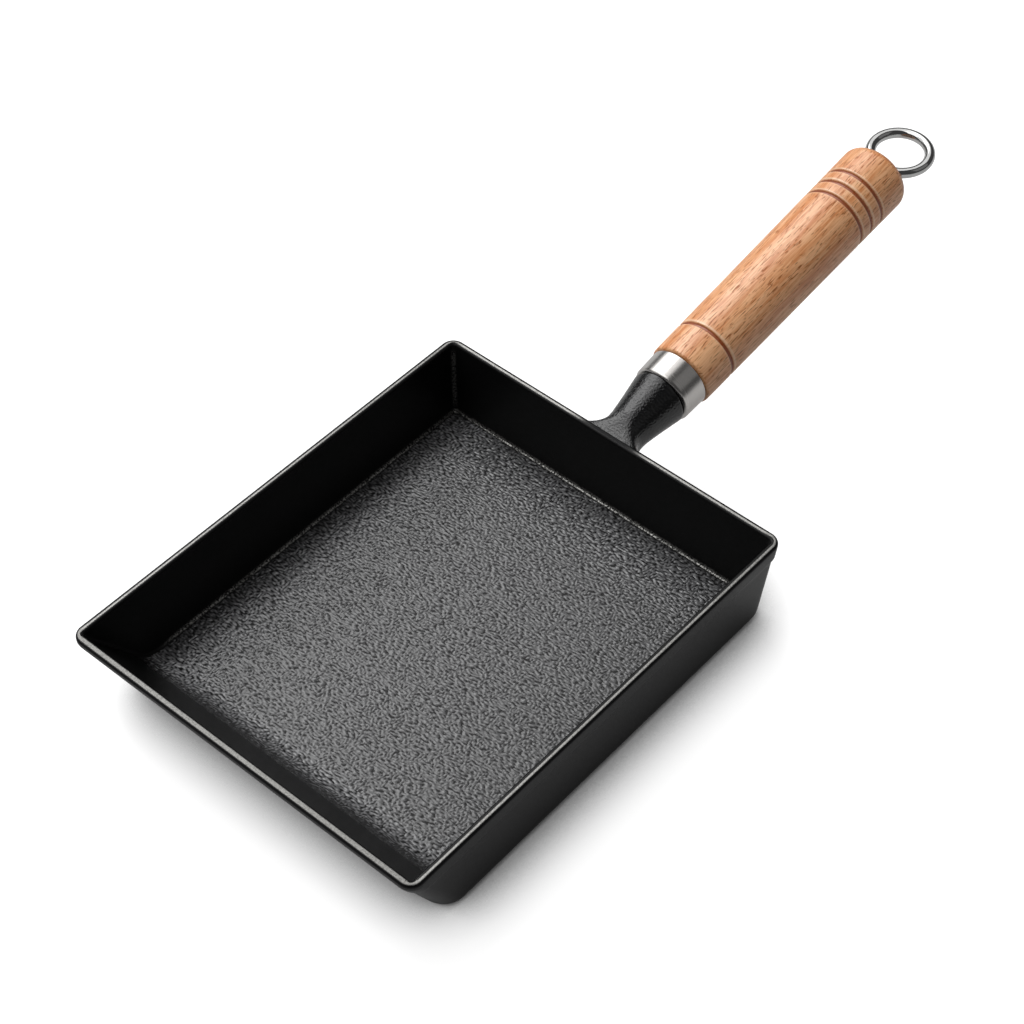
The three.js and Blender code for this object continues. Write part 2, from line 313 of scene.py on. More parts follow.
@dataclass(frozen=True)
class SeasonedIron(Finish):
    """Cast iron with a baked black coat, satin outside, bare grey metal where the rim is worn.

    The eye sees near-black walls with a soft sheen, a fine orange-peel skin from the sand of the mould,
    and a bright, finely pitted band on top of the rim. The one coat is painted a little lighter on the
    inner walls and darker on the front slope, painted light and shade. The rim band and the bare specks
    along the floor's foot and up the inner corners are partly wear and partly a painted highlight. The
    skin's grain is drawn a little coarser than moulding sand, to show.
    """

    # Painted light and shade: the one black coat is lighter on the inner walls and darker on the inner
    # front slope than outside.
    outside: str = "#0b0b0c"
    inside: str = "#131313"
    front: str = "#0a0a0a"
    worn: str = "#9c9b98"
    pitted: str = "#807f7c"
    sand_size: float = 0.7
    pit_size: float = 0.55
    speck_range: Pair = (0.38, 0.62)
    pit_range: Pair = (0.36, 0.56)
    skin_depth: float = 0.06
    coat_roughness: float = 0.34
    worn_roughness: float = 0.36
    gloss: float = 0.12

    def shade(self, tree: NodeTree, shader: Node) -> None:
        """Mixes coat and bare metal by the marks of the surface.

        Args:
            tree: the material's node tree.
            shader: its surface shader.
        """
        place = add_node(tree, "TexCoord").outputs["Object"]
        rim, wall, slope, foot = (
            add_node(tree, "Attribute", attribute_name=mark).outputs["Fac"]
            for mark in ("rim", "inside", "front", "foot"))
        sand = add_node(tree, "TexNoise", {
            "Vector": place, "Scale": per_size(self.sand_size), "Detail": 2.0, "Roughness": 0.6})
        pits = add_node(tree, "TexNoise", {
            "Vector": place, "Scale": per_size(self.pit_size), "Detail": 3.0, "Roughness": 0.65})
        pitting, speck = (
            add_node(tree, "MapRange", {
                "Value": grain, "From Min": low, "From Max": high}, interpolation_type="SMOOTHSTEP")
            for grain, (low, high) in ((pits, self.pit_range), (sand, self.speck_range)))
        bare = add_node(tree, "Mix", {
            "Factor": pitting, "A": linear(self.pitted), "B": linear(self.worn)}, data_type="RGBA")
        # The inner walls and the front slope get their painted light and shade of the coat here.
        inner = add_node(tree, "Mix", {
            "Factor": slope, "A": linear(self.inside), "B": linear(self.front)}, data_type="RGBA")
        coat = add_node(tree, "Mix", {
            "Factor": wall, "A": linear(self.outside), "B": inner}, data_type="RGBA")
        # Bare-metal specks along the foot and up the inner corners: partly wear, partly a painted
        # highlight for the dotted glints there.
        painted_light = add_node(tree, "Math", {"Value": speck, "Value_001": foot}, operation="MULTIPLY")
        metal = add_node(tree, "Math", {"Value": painted_light, "Value_001": rim}, operation="MAXIMUM")
        colour = add_node(tree, "Mix", {
            "Factor": metal, "A": coat, "B": bare}, data_type="RGBA")
        rough = add_node(tree, "MapRange", {
            "Value": metal, "To Min": self.coat_roughness, "To Max": self.worn_roughness})
        bump = add_node(tree, "Bump", {
            "Height": sand, "Strength": 0.6, "Distance": self.skin_depth * MM})
        set_inputs(tree, shader, {
            "Base Color": colour, "Metallic": metal, "Roughness": rough, "Normal": bump,
            "Specular IOR Level": self.gloss})


@dataclass(frozen=True)
class WrinkledIron(Finish):
    """The cooking floor: cast iron left with the wrinkled skin of the mould, rubbed to grey.

    The eye sees mid-grey crests over darker hollows with a satin sheen; the crests' paler tone is partly a
    painted highlight and the hollows' darker tone partly painted shade. Painted shade fades it to black at
    the walls and up the front slope, and painted light and shade make it paler in strips along the left
    wall, the back wall and the foot of the front slope, and a little darker to the right.
    """

    # The crests are painted paler and the hollows darker: partly the skin's own tone, partly a painted
    # highlight on the crests and painted shade in the hollows.
    crest: str = "#676768"
    hollow: str = "#282829"
    shade_edge: str = "#0c0c0c"
    grain_size: float = 0.5
    grain_depth: float = 0.06
    roughness: float = 0.23
    gloss: float = 0.48

    def shade(self, tree: NodeTree, shader: Node) -> None:
        """Colours the skin by its height, its strips of painted light and shade and its distance from the
        walls.

        Args:
            tree: the material's node tree.
            shader: its surface shader.
        """
        place = add_node(tree, "TexCoord").outputs["Object"]
        height, tone, painted_light = (
            add_node(tree, "Attribute", attribute_name=mark).outputs["Fac"]
            for mark in ("height", "tone", "painted_light"))
        grain = add_node(tree, "TexNoise", {
            "Vector": place, "Scale": per_size(self.grain_size), "Detail": 2.0})
        skin = add_node(tree, "Mix", {
            "Factor": height, "A": linear(self.hollow), "B": linear(self.crest)}, data_type="RGBA")
        # Painted light and shade: the strips scale the skin's colour up or down.
        paler = add_node(tree, "Mix", {
            "Factor": 1.0, "A": skin, "B": painted_light}, data_type="RGBA", blend_type="MULTIPLY")
        colour = add_node(tree, "Mix", {
            "Factor": tone, "A": linear(self.shade_edge), "B": paler}, data_type="RGBA")
        bump = add_node(tree, "Bump", {
            "Height": grain, "Strength": 0.5, "Distance": self.grain_depth * MM})
        set_inputs(tree, shader, {
            "Base Color": colour, "Normal": bump, "Roughness": self.roughness,
            "Specular IOR Level": self.gloss})


@dataclass(frozen=True)
class TurnedSteel(Finish):
    """Stainless steel spun or turned about the handle's axis.

    The eye sees long bright and dark bands along the axis, softened by very fine turning
    marks. The marks are drawn at a quarter of a millimetre, coarser than real ones, to show.
    """

    steel: str = "#c2bfbc"
    shadow: str = "#b6b3b0"
    pitch: float = HANDLE_PITCH
    mark_size: float = 0.25
    mark_length: float = 250.0
    mark_depth: float = 0.002
    cloud_size: float = 6.0
    roughness: float = 0.24
    unevenness: float = 0.3

    def shade(self, tree: NodeTree, shader: Node) -> None:
        """Adds turning marks across the axis and a faint cloudiness.

        Args:
            tree: the material's node tree.
            shader: its surface shader.
        """
        place = add_node(tree, "TexCoord").outputs["Object"]
        along = add_node(tree, "Mapping", {
            "Vector": place, "Rotation": (-math.radians(self.pitch), 0.0, 0.0),
            "Scale": tuple(map(per_size, (self.mark_length, self.mark_size, self.mark_length)))})
        marks = add_node(tree, "TexNoise", {"Vector": along, "Scale": 1.0, "Detail": 2.0})
        cloud = add_node(tree, "TexNoise", {
            "Vector": place, "Scale": per_size(self.cloud_size), "Detail": 3.0})
        colour = add_node(tree, "Mix", {
            "Factor": cloud, "A": linear(self.shadow), "B": linear(self.steel)}, data_type="RGBA")
        bump = add_node(tree, "Bump", {
            "Height": marks, "Strength": 0.5, "Distance": self.mark_depth * MM})
        rough = add_node(tree, "MapRange", {
            "Value": marks, "To Min": self.roughness * (1 - self.unevenness),
            "To Max": self.roughness * (1 + self.unevenness)})
        set_inputs(tree, shader, {
            "Base Color": colour, "Roughness": rough, "Normal": bump, "Metallic": 1.0})


@dataclass(frozen=True)
class OiledBeech(Finish):
    """Turned, oiled beech with scorched grooves.

    The eye sees a warm light brown with fine lines and short, dull, darker flecks along the
    grain, broad soft streaks, a soft sheen of oil, and dark red-brown lines where the grooves
    were burnt in.
    """

    pale: str = "#f4bb89"
    warm: str = "#d17f3e"
    fleck: str = "#8a410e"
    scorched: str = "#964819"
    # Painted highlight: the pale colour laid on the groove lips.
    painted_light: str = "#ffe0bd"
    pitch: float = HANDLE_PITCH
    streak_size: Pair = (4.0, 80.0)
    line_size: Pair = (0.6, 13.0)
    fleck_size: Pair = (0.42, 4.5)
    pore_size: Pair = (0.3, 4.0)
    pore_depth: float = 0.012
    waver: float = 0.5
    line_share: float = 0.62
    streak_range: Pair = (0.36, 0.64)
    fleck_range: Pair = (0.56, 0.67)
    fleck_strength: float = 0.8
    lip_strength: float = 0.6
    roughness: float = 0.42
    unevenness: float = 0.06
    gloss: float = 1.0

    def shade(self, tree: NodeTree, shader: Node) -> None:
        """Adds streaks, lines, flecks and pores along the axis, a painted highlight on the groove lips,
        and scorched grooves.

        Args:
            tree: the material's node tree.
            shader: its surface shader.
        """
        place = add_node(tree, "TexCoord").outputs["Object"]
        level = add_node(tree, "Mapping", {
            "Vector": place, "Rotation": (-math.radians(self.pitch), 0.0, 0.0)})
        streak, line, fleck, pore = (
            add_node(tree, "TexNoise", {
                "Vector": add_node(tree, "Mapping", {
                    "Vector": level, "Scale": tuple(map(per_size, (width, length, width)))}),
                "Scale": 1.0, "Detail": detail, "Distortion": self.waver})
            for (width, length), detail in (
                (self.streak_size, 3.0), (self.line_size, 3.0),
                (self.fleck_size, 2.0), (self.pore_size, 2.0)))
        scorch, lip = (
            add_node(tree, "Attribute", attribute_name=mark).outputs["Fac"]
            for mark in ("scorch", "lip"))
        both = add_node(tree, "Mix", {
            "Factor": self.line_share, "A": streak, "B": line})
        streaks, flecks = (
            add_node(tree, "MapRange", {
                "Value": grain, "From Min": low, "From Max": high, "To Max": strength},
                interpolation_type="SMOOTHSTEP")
            for grain, (low, high), strength in (
                (both, self.streak_range, 1.0), (fleck, self.fleck_range, self.fleck_strength)))
        sheen = add_node(tree, "MapRange", {
            "Value": flecks, "To Min": self.gloss, "To Max": 0.0})
        # Painted highlight on the groove lips.
        edge = add_node(tree, "Math", {
            "Value": lip, "Value_001": self.lip_strength}, operation="MULTIPLY")
        colour = linear(self.warm)
        for amount, over in (
            (streaks, self.pale), (flecks, self.fleck), (edge, self.painted_light), (scorch, self.scorched),
        ):
            colour = add_node(tree, "Mix", {
                "Factor": amount, "A": colour, "B": linear(over)}, data_type="RGBA")
        bump = add_node(tree, "Bump", {
            "Height": pore, "Strength": 0.5, "Distance": self.pore_depth * MM})
        rough = add_node(tree, "MapRange", {
            "Value": streak, "To Min": self.roughness - self.unevenness,
            "To Max": self.roughness + self.unevenness})
        set_inputs(tree, shader, {
            "Base Color": colour, "Roughness": rough, "Normal": bump, "Specular IOR Level": sheen})


@dataclass
class Piece:
    """A finished mesh and what it stands for in the part."""

    shape: Object
    finish: Material
    body: Body
    slot: Slot
    nodes: tuple[str, ...]

    def dress(self) -> None:
        """Gives the mesh its finish, ties it to its body and hides the solids of the part it stands for.
        """
        self.shape.data.materials.append(self.finish)
        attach(self.shape, self.body.value)
        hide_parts(*self.nodes)
        triangles = sum(len(face.vertices) - 2 for face in self.shape.data.polygons)
        log.info("%s: %d triangles, %s", self.shape.name, triangles, self.finish.name)


@dataclass(frozen=True)
class WallFace:
    """One face of the tray's walls: its floor height, its roundings and the ends' leans."""

    floor_z: float
    edge_radius: float
    front_radius: float
    front_lean: float
    back_lean: float


@dataclass(frozen=True)
class WearAndGlints:
    """Where the casting's iron is bared: partly wear, partly a painted highlight, setting the rim band's
    place and brightness and the dotted glints along the floor's foot and up the inner corners.

    A pair is where a soft step starts and ends, but for the bands and shifts, which are for
    the outer and the inner edge of the band along the rim.
    """

    band: Pair = (1.25, 2.1)
    front_band: Pair = (0.72, 2.25)
    right_shift: Pair = (0.35, 0.4)
    left_shift: Pair = (0.0, 0.2)
    band_edge: float = 0.3
    front: Pair = (-88.0, -91.5)
    back: Pair = (90.5, 88.0)
    side: Pair = (68.0, 72.0)
    neck: Pair = (9.0, 17.0)
    below_top: Pair = (0.45, 0.1)
    # How much duller the band is at the front and the sides, which tunes its painted highlight there.
    front_highlight_dimmed: float = 0.48
    side_highlight_dimmed: float = 0.28
    # The foot line and the corner creases: bare specks that are partly wear, partly a painted highlight.
    foot_start: Pair = (0.0, 0.1)
    foot_end: Pair = (1.6, 0.3)
    foot_front: Pair = (-62.0, -50.0)
    crease: float = 0.5
    crease_start: Pair = (1.5, 4.0)
    crease_end: Pair = (2.0, 5.0)


@dataclass
class PanCasting:
    """The cast tray: a flat base, three steep walls, a sloped front wall and a rim band."""

    rim_width: float = 150.0
    rim_length: float = 187.6
    height: float = 37.7
    wall: float = 3.0
    side_slope: float = 2.5
    land: float = 2.4
    band: float = 6.0
    band_proud: float = 0.7
    band_step: float = 1.6
    outer_rounding: float = 1.1
    inner_rounding: float = 0.9
    rim_corner: float = 5.0
    base_corner: float = 10.0
    least_corner: float = 1.0
    corner_steps: int = 14
    side_steps: int = 40
    outside: WallFace = WallFace(0.0, 5.0, 5.0, 28.0, 0.8)
    inside: WallFace = WallFace(4.5, 1.2, 14.0, 37.0, 0.2)
    inner_corner: float = 1.6
    slope_edge: Pair = (-70.0, -78.0)
    slope_limit: float = -60.0
    slope_level: float = 20.0
    slope_lean: float = 0.35
    wear_and_glints: WearAndGlints = WearAndGlints()

    def lean_inset(self, z: np.ndarray, slope: float) -> np.ndarray:
        """How far a leaning wall has come in at height z: the drop below the land times the slope."""
        return np.maximum(0.0, self.height - self.land - z) * math.tan(math.radians(slope))

    def wall_inset(self, z: np.ndarray, slope: float, floor_z: float, radius: float) -> np.ndarray:
        """How far a wall that rounds into a floor has come in at height z.

        Above the rounding it is the lean. Below, it is the centre of the rounding's circle,
        which touches both wall and floor, less the circle's half width at that height.

        Args:
            z: heights.
            slope: the wall's lean in degrees.
            floor_z: the floor's height.
            radius: the rounding's radius.

        Returns:
            Insets, one for each height.
        """
        lean = math.radians(slope)
        rise = np.clip(floor_z + radius - z, 0.0, radius)
        foot = self.lean_inset(np.asarray(floor_z), slope)
        centre = foot + radius * (1 / math.cos(lean) - math.tan(lean))
        rounded = z < floor_z + radius * (1 - math.sin(lean))
        return np.where(rounded, centre - np.sqrt(radius**2 - rise**2), self.lean_inset(z, slope))

    def outlines(self, z: np.ndarray, setback: np.ndarray, face: WallFace) -> np.ndarray:
        """Level outlines of the tray: rectangles with round corners.

        Each wall stands in from the rim by the setback and by its own inset at that height.
        A corner is a quarter circle whose radius shrinks from the base to the rim, and the
        straight sides between the corners are cut into equal steps.

        Args:
            z: heights.
            setback: extra distance in from the rim, one for each height.
            face: which face of the walls.

        Returns:
            Points as heights by points by three, anticlockwise seen from above.
        """
        side_in = self.wall_inset(z, self.side_slope, face.floor_z, face.edge_radius)
        back_in = self.wall_inset(z, face.back_lean, face.floor_z, face.edge_radius)
        front_in = self.wall_inset(z, face.front_lean, face.floor_z, face.front_radius)
        side = self.rim_width / 2 - setback - side_in
        back = self.rim_length / 2 - setback - back_in
        front = self.rim_length / 2 - setback - front_in
        corner = self.base_corner + (self.rim_corner - self.base_corner) * z / self.height
        rounding = side_in - self.lean_inset(z, self.side_slope)
        radius = np.maximum(self.least_corner, corner - setback - rounding)
        if face is self.inside:
            radius = np.full_like(z, self.inner_corner)
        arcs = []
        for turn, (x, y) in enumerate(((side, -front), (side, back), (-side, back), (-side, -front))):
            angle = quarter(self.corner_steps) + (turn - 1) * math.pi / 2
            centre_x = x - np.sign(x) * radius
            centre_y = y - np.sign(y) * radius
            arcs.append(np.stack([
                centre_x[:, None] + radius[:, None] * np.cos(angle),
                centre_y[:, None] + radius[:, None] * np.sin(angle),
                np.broadcast_to(z[:, None], (len(z), len(angle))),
            ], axis=-1))
        share = np.linspace(0.0, 1.0, self.side_steps + 1)[1:-1, None]
        loops = []
        for arc, following in zip(arcs, arcs[1:] + arcs[:1]):
            start, end = arc[:, -1:, :], following[:, :1, :]
            loops += [arc, start + (end - start) * share]
        return np.concatenate(loops, axis=1)

    def build(self) -> Object:
        """Builds the tray's skin, up its outside, over the rim and down its inside.

        Outside, the wall rises from the base's rounding to a soft step of half a cosine, and
        the rim band stands proud above it. The rim's top is flat between two quarter rounds.

        Returns:
            The casting's object.
        """
        top = self.height
        band_z = top - self.band
        base = self.outside.edge_radius * (1 - np.cos(quarter(10)))
        step = np.linspace(0.0, 1.0, 11)
        out, turn_in = quarter(10), quarter(8)[::-1]
        flat = np.linspace(self.outer_rounding, self.wall - self.inner_rounding, 7)[1:-1]
        land_z = top - self.land
        drop = self.inside.front_radius
        wall_z = np.linspace(self.outside.edge_radius, band_z - self.band_step, 14)[1:-1]
        proud_z = np.linspace(band_z, top - self.outer_rounding, 6)[1:-1]
        outer_z = np.concatenate([
            base,
            wall_z,
            band_z + self.band_step * (step - 1),
            proud_z,
            top - self.outer_rounding * (1 - np.sin(out)),
        ])
        outer_setback = np.concatenate([
            np.full(len(base) + len(wall_z), self.band_proud),
            self.band_proud * (1 + np.cos(np.pi * step)) / 2,
            np.zeros(len(proud_z)),
            self.outer_rounding * (1 - np.cos(out)),
        ])
        inner_z = np.concatenate([
            top - self.inner_rounding * (1 - np.sin(turn_in)),
            np.linspace(top - self.inner_rounding, land_z, 4)[1:],
            np.linspace(land_z, self.inside.floor_z + drop, 14)[1:],
            self.inside.floor_z + drop * (1 - np.sin(quarter(22)[1:])),
        ])
        inner_setback = np.full(len(inner_z), self.wall)
        inner_setback[:len(turn_in)] -= self.inner_rounding * (1 - np.cos(turn_in))
        rings = np.concatenate([
            self.outlines(outer_z, outer_setback, self.outside),
            self.outlines(np.full(len(flat), top), flat, self.outside),
            self.outlines(inner_z, inner_setback, self.inside),
        ])
        setback = np.concatenate([outer_setback, flat, inner_setback])
        inside = np.zeros(len(rings))
        inside[-len(inner_z) + len(turn_in) // 2:] = 1.0
        marks = {"rim": self.bare_rim_highlight(rings, setback), "inside": inside}
        return Shell.of_rings(rings, marks | self.inner_marks(rings, inside)).piece("pan_casting")

    def bare_rim_highlight(self, rings: np.ndarray, setback: np.ndarray) -> np.ndarray:
        """How bare the rim is: a band with soft edges along its flat top.

        The band lies further out on the right, is narrower on the left and wider at the front, is duller
        at the front and both sides, and stops where the neck leaves the rim. It is worn metal, but its
        place, width and dullness on each side are set to where and how brightly the rim's highlight falls,
        a painted highlight in part.

        Args:
            rings: the casting's points as rows by columns by three.
            setback: each row's distance in from the rim.

        Returns:
            Values from 0, coated, to 1, bare, as rows by columns.
        """
        wear_and_glints, (x, y, z) = self.wear_and_glints, np.moveaxis(rings, -1, 0)
        ahead = smooth(*wear_and_glints.front, y)
        aside = smooth(*wear_and_glints.side, np.abs(x)) * (1 - ahead)
        right, left = aside * (x > 0.0), aside * (x < 0.0)
        outer, inner = (
            usual + (front - usual) * ahead - to_right * right - to_left * left
            for usual, front, to_right, to_left in zip(
                wear_and_glints.band, wear_and_glints.front_band, wear_and_glints.right_shift, wear_and_glints.left_shift))
        inward, half = setback[:, None], wear_and_glints.band_edge / 2
        across = smooth(-half, half, inward - outer) * smooth(-half, half, inner - inward)
        start, end = wear_and_glints.below_top
        level = smooth(self.height - start, self.height - end, z)
        clear = np.maximum(smooth(*wear_and_glints.neck, np.abs(x)), smooth(*wear_and_glints.back, y))
        return level * across * clear * (1.0 - wear_and_glints.front_highlight_dimmed * ahead - wear_and_glints.side_highlight_dimmed * aside)

    def inner_marks(self, rings: np.ndarray, inside: np.ndarray) -> dict[str, np.ndarray]:
        """Where the inner skin is the front slope, painted darker, and where its foot and corners are
        bared.

        The slope's edge leans with the corner. The foot is a line just above the floor, and a corner is
        bared most at its middle, half a wave of sine across it. The bared foot and corners are partly wear
        and partly a painted highlight, the dotted glints there; the slope's darker coat is painted shade.

        Args:
            rings: the casting's points as rows by columns by three.
            inside: 1 for each row on the inside, else 0.

        Returns:
            The marks front and foot, as rows by columns.
        """
        wear_and_glints, (_, y, z) = self.wear_and_glints, np.moveaxis(rings, -1, 0)
        lift = z - self.inside.floor_z
        edge = np.minimum(y, self.slope_limit) - self.slope_lean * (z - self.slope_level)
        foot = smooth(*wear_and_glints.foot_start, lift) * smooth(*wear_and_glints.foot_end, lift)
        corner = np.append(np.sin(2 * quarter(self.corner_steps)), np.zeros(self.side_steps - 1))
        upright = smooth(*wear_and_glints.crease_start, lift) * smooth(*wear_and_glints.crease_end, self.height - z)
        crease = wear_and_glints.crease * np.tile(corner, 4) * upright
        return {
            "front": inside[:, None] * smooth(*self.slope_edge, edge),
            "foot": inside[:, None] * np.maximum(foot, crease) * smooth(*wear_and_glints.foot_front, y),
        }


@dataclass(frozen=True)
class PaintedStrip:
    """A strip of the floor painted paler or darker, as painted light and shade: its two soft edges and how
    much paler it is.
    """

    start: Pair
    end: Pair
    paler: float

    def at(self, place: np.ndarray) -> np.ndarray:
        """How far into the strip a place is: a soft step up times a soft step down."""
        return smooth(*self.start, place) * smooth(*self.end, place)


@dataclass
class PanFloor:
    """The wrinkled skin of the cooking floor: thin slabs set into the casting, side by side."""

    face: WallFace
    half_width: float = 70.05
    back: float = 90.1
    front: float = -74.0
    front_tangent: float = -60.6
    depth: float = 1.0
    step: float = 0.3
    tiles: int = 3
    period: float = 1.2
    stretch: float = 2.4
    cross_stretch: float = 1.7
    spread: float = 0.45
    patch: float = 9.0
    patch_spread: float = 0.4
    patch_edge: Pair = (-0.1, 1.0)
    crest_bias: float = 0.3
    amplitude: float = 0.068
    least: float = -2.0
    most: float = 2.6
    front_fade: Pair = (1.0, 9.0)
    wall_shade: Pair = (0.0, 1.2)
    front_shade: Pair = (1.5, 7.0)
    front_ragged: float = 0.8
    mid_tone: float = 0.34
    contrast: float = 0.3
    # Painted light and shade: strips of the floor painted paler or darker where light and shade fall.
    painted_light_left: PaintedStrip = PaintedStrip((2.0, 11.0), (30.0, 10.0), 1.6)
    painted_light_back: PaintedStrip = PaintedStrip((0.0, 6.0), (32.0, 8.0), 0.8)
    painted_light_front: PaintedStrip = PaintedStrip((-69.5, -66.0), (-59.0, -63.0), 0.8)
    painted_shade_right: PaintedStrip = PaintedStrip((25.0, 65.0), (110.0, 90.0), -0.22)
    stand: float = 0.06
    border: float = 1.0
    border_drop: float = 0.15
    seed: int = 7

    def relief(self) -> tuple[np.ndarray, dict[str, np.ndarray]]:
        """The skin as a height field over a rectangle.

        The height is a random field of one wavelength, drawn out along X, with patches drawn
        out along Y. A share of its square makes the crests sharper than the hollows. It climbs
        the front wall, first by the rounding's arc and then by the straight slope, fades out
        there, and sinks below the casting all along the border.

        Returns:
            Points as rows by columns by three, and the values at them for the finish.
        """
        spans = (2 * self.half_width, self.back - self.front)
        columns, rows = (round(span / self.step) + 1 for span in spans)
        grid_x, grid_y = np.meshgrid(
            np.linspace(-self.half_width, self.half_width, columns),
            np.linspace(self.front, self.back, rows))
        even = (self.step, self.step)
        along_x = (self.step, self.step / self.stretch)
        along_y = (self.step / self.cross_stretch, self.step)
        patches = band_noise(grid_x.shape, even, self.patch, self.patch_spread, self.seed)
        turned = smooth(*self.patch_edge, patches)
        first, second = (
            band_noise(grid_x.shape, steps, self.period, self.spread, self.seed + draw)
            for draw, steps in enumerate((along_x, along_y), start=1))
        wrinkle = np.sqrt(1.0 - turned) * first + np.sqrt(turned) * second
        wrinkle = wrinkle + self.crest_bias * (wrinkle**2 - 1.0)
        side = self.half_width - np.abs(grid_x)
        rear, ahead = self.back - grid_y, grid_y - self.front
        kept = smooth(0.0, self.border, np.minimum(np.minimum(side, rear), ahead))
        relief = self.amplitude * np.clip(wrinkle, self.least, self.most) * smooth(*self.front_fade, ahead)
        into = np.maximum(0.0, self.front_tangent - grid_y)
        radius, rise = self.face.front_radius, math.radians(90.0 - self.face.front_lean)
        arc = np.minimum(into, radius * math.sin(rise))
        climb = radius - np.sqrt(radius**2 - arc**2) + (into - arc) * math.tan(rise)
        z = self.face.floor_z + climb + kept * (relief + self.stand) - (1 - kept) * self.border_drop
        tone = smooth(*self.wall_shade, np.minimum(side, rear))
        tone = tone * smooth(*self.front_shade, ahead + self.front_ragged * wrinkle)
        # Painted light: paler along the left wall, the back wall and the foot of the front slope; painted
        # shade: darker to the right.
        by_left = self.painted_light_left.at(grid_x + self.half_width)
        painted_light = (
            1.0 + self.painted_light_left.paler * by_left
            + self.painted_light_back.paler * self.painted_light_back.at(rear) * (1.0 - by_left)
            + self.painted_light_front.paler * self.painted_light_front.at(grid_y)
            + self.painted_shade_right.paler * self.painted_shade_right.at(grid_x)
        )
        return np.stack([grid_x, grid_y, z], axis=-1), {
            # The height tone paints the crests paler, partly a painted highlight, and the hollows darker,
            # partly painted shade.
            "height": np.clip(self.mid_tone + self.contrast * wrinkle, 0.0, 1.0),
            "tone": tone,
            "painted_light": painted_light,
        }

    def slab(self, name: str, field_points: np.ndarray, marks: dict[str, np.ndarray]) -> Object:
        """Closes a part of the height field to a slab with a skirt and a flat underside.

        Args:
            name: the piece's name.
            field_points: points as rows by columns by three.
            marks: the values at them.

        Returns:
            The slab's object.
        """
        top = field_points.reshape(-1, 3)
        number = np.arange(len(top)).reshape(field_points.shape[:2])
        loop = np.concatenate([number[0, :-1], number[:-1, -1], number[-1, :0:-1], number[:0:-1, 0]])
        under = top[loop] * [1.0, 1.0, 0.0] + [0.0, 0.0, self.face.floor_z - self.depth]
        low = np.arange(len(loop)) + len(top)
        skirt = np.stack([low, np.roll(low, -1), np.roll(loop, -1), loop], axis=-1)
        bottom = fan(low[::-1], len(top) + len(low))
        points = np.concatenate([top, under, under.mean(axis=0, keepdims=True)])
        values = {mark: np.append(at.ravel(), np.zeros(len(under) + 1)) for mark, at in marks.items()}
        faces = [grid_quads(*number.shape, wrap_columns=False), skirt, bottom]
        return Shell(points, faces, values).piece(name, crease=SHARP_ANGLE)

    def skins(self) -> list[Object]:
        """Builds the slabs, cut across so that neighbours share a row of points.

        Returns:
            The slabs' objects, from the front to the back.
        """
        points, marks = self.relief()
        cuts = np.linspace(0, len(points) - 1, self.tiles + 1).round().astype(int)
        slabs = []
        for tile, (start, end) in enumerate(zip(cuts, cuts[1:]), start=1):
            own = {mark: at[start:end + 1] for mark, at in marks.items()}
            slabs.append(self.slab(f"pan_floor_{tile}", points[start:end + 1], own))
        return slabs


@dataclass
class HandleFrame:
    """The handle's axis: stations along it start at the back of the rim."""

    start_y: float = 93.8
    start_z: float = 31.4
    pitch: float = HANDLE_PITCH

    def place(self, points: np.ndarray) -> np.ndarray:
        """Turns points about the handle's axis into the part's frame: a turn about X, then a shift."""
        turn = np.array(Matrix.Rotation(math.radians(self.pitch), 3, "X"))
        return points @ turn.T + np.array([0.0, self.start_y, self.start_z])

    def turned(self, profile: np.ndarray, columns: int) -> np.ndarray:
        """Carries a profile once round the handle's axis.

        Args:
            profile: rows of radius and station.
            columns: the number of points in a round.

        Returns:
            Rings of points in the part's frame.
        """
        angle = circle(columns)
        radius, station = profile[:, :1], profile[:, 1:]
        station = np.broadcast_to(station, (len(profile), columns))
        return self.place(np.stack([radius * np.sin(angle), station, radius * np.cos(angle)], axis=-1))


def bend(radius: float, station: float, size: float, start: float, end: float, steps: int) -> np.ndarray:
    """A round edge of a turned profile: an arc about a point.

    Args:
        radius: the arc centre's distance from the axis.
        station: the arc centre's place along the axis.
        size: the arc's radius.
        start: the first angle in degrees, where 0 points outwards and 90 along the axis.
        end: the last angle.
        steps: the number of steps.

    Returns:
        Rows of radius and station.
    """
    angle = np.radians(np.linspace(start, end, steps + 1))
    return np.stack([radius + size * np.cos(angle), station + size * np.sin(angle)], axis=-1)


